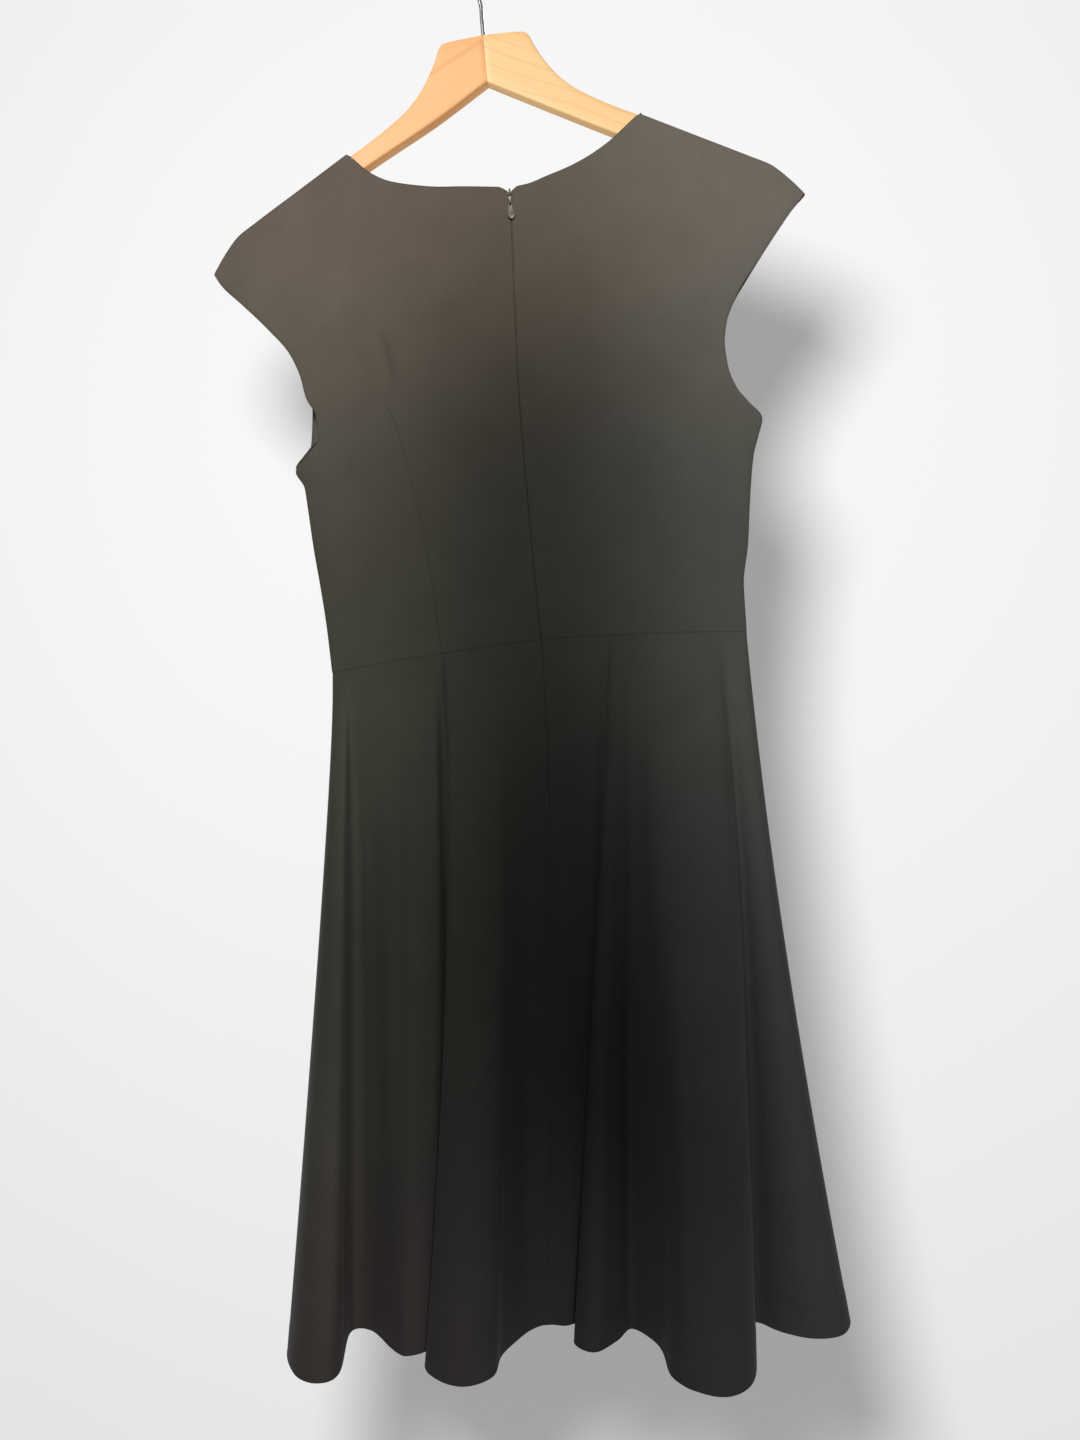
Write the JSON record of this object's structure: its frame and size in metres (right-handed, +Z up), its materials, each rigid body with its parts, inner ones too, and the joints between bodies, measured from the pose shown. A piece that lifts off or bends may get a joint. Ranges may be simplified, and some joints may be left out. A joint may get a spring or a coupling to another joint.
{
  "type": "cocktail dress on a wooden hanger",
  "caption": "Fit and flare dress with cap sleeves, waist seam and back zip, hung on a wooden clothes hanger with a wire hook.",
  "frame": {"origin": "inside top of the hanger's hook, where a rail carries it", "axes": "+Z up, -Y out of the dress's back, +X to the right as seen from its back"},
  "size_m": [0.507, 0.2033, 1.1477],
  "materials": {
    "crepe": "matte black crepe",
    "zip_tape": "matte black woven tape",
    "zip_metal": "dark grey lacquer",
    "wood": "clear satin lacquer over pale wood",
    "hook_wire": "bright plated wire"
  },
  "bodies": {
    "dress": {"back_bodice_left": "crepe", "back_bodice_right": "crepe", "front_bodice": "crepe", "back_skirt_left": "crepe", "back_skirt_right": "crepe", "front_skirt": "crepe", "zip_tape_left": "zip_tape", "zip_tape_right": "zip_tape", "zip_slider": "zip_metal", "hanger_arm_left": "wood", "hanger_arm_right": "wood", "hanger_hook": "hook_wire"},
    "zip_pull": {"zip_pull": "zip_metal"}
  },
  "joints": [
    {"name": "pull_swing", "type": "hinge", "parent": "dress", "child": "zip_pull", "pos_m": [0.01094, -0.01992, -0.22], "axis": [-1, 0, 0], "range_deg": [0, 150]}
  ]
}
